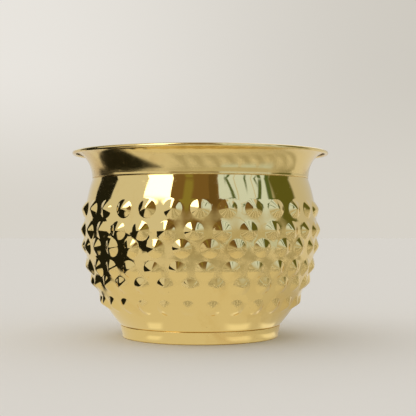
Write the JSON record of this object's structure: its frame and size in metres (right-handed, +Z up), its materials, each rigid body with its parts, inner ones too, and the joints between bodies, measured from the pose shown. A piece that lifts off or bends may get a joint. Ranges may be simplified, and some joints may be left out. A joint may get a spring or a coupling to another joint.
{
  "type": "planter pot",
  "caption": "Round-bellied brass planter pot with rings of hobnail bosses, a flared collar with a rolled rim, and a plain foot ring.",
  "frame": {"origin": "middle of the circle that the foot stands on", "axes": "+Z up along the pot's axis of revolution; -Y is the side seen in front"},
  "size_m": [0.3, 0.3, 0.216],
  "materials": {
    "belly_brass": "polished, lightly tarnished",
    "collar_brass": "polished, spun",
    "foot_brass": "polished, spun, slightly worn",
    "wire_steel": "drawn wire",
    "solder": "dull soft solder"
  },
  "bodies": {
    "root": {"belly_bowl": "belly_brass", "neck_collar": "collar_brass", "rim_wire": "wire_steel", "foot_ring": "foot_brass", "neck_solder": "solder", "foot_solder": "solder"}
  },
  "joints": []
}
